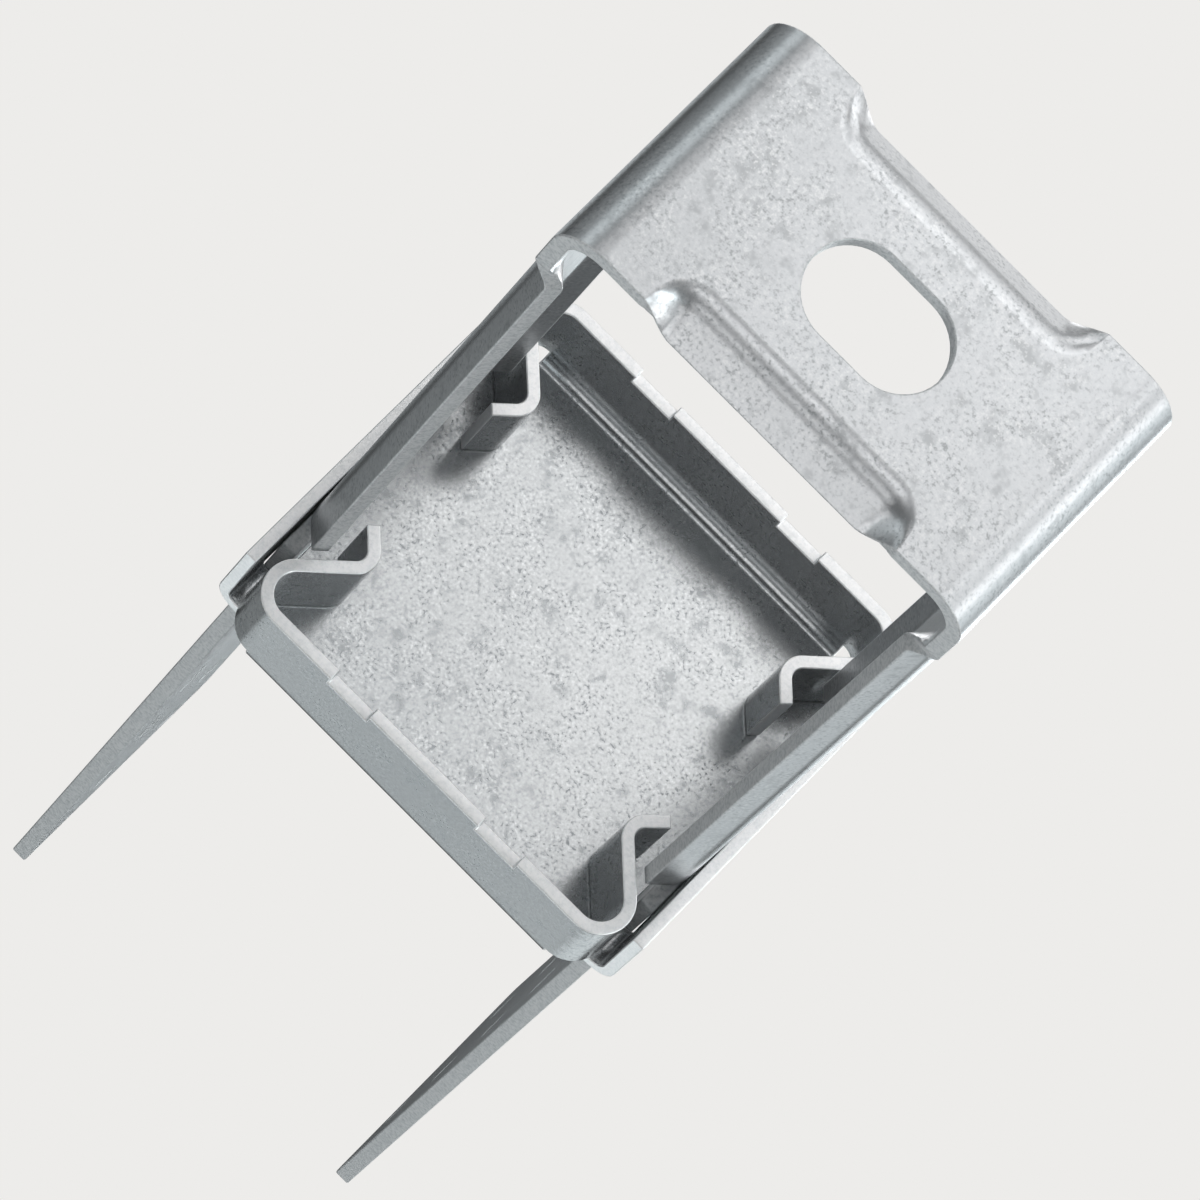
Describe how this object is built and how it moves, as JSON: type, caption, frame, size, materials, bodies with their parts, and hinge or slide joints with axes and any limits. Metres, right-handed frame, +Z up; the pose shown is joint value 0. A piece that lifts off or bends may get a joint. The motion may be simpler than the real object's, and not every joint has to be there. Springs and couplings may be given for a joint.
{
  "type": "embedded column base",
  "caption": "U-shaped galvanised steel stirrup with a folded standoff pan, cast into concrete to carry the foot of a square timber post clear of the surface.",
  "frame": {"origin": "under the middle of the strap's web, where the part stands on its lowest face", "axes": "+X from leg to leg, +Y along the width of the strap, +Z up along the legs"},
  "size_m": [0.1036, 0.0888, 0.424],
  "materials": {
    "strap_galvanised": "hot-dip galvanised, spangled satin zinc",
    "base_galvanised": "hot-dip galvanised, spangled satin zinc"
  },
  "bodies": {
    "root": {"stirrup_strap": "strap_galvanised", "standoff_base": "base_galvanised"}
  },
  "joints": []
}
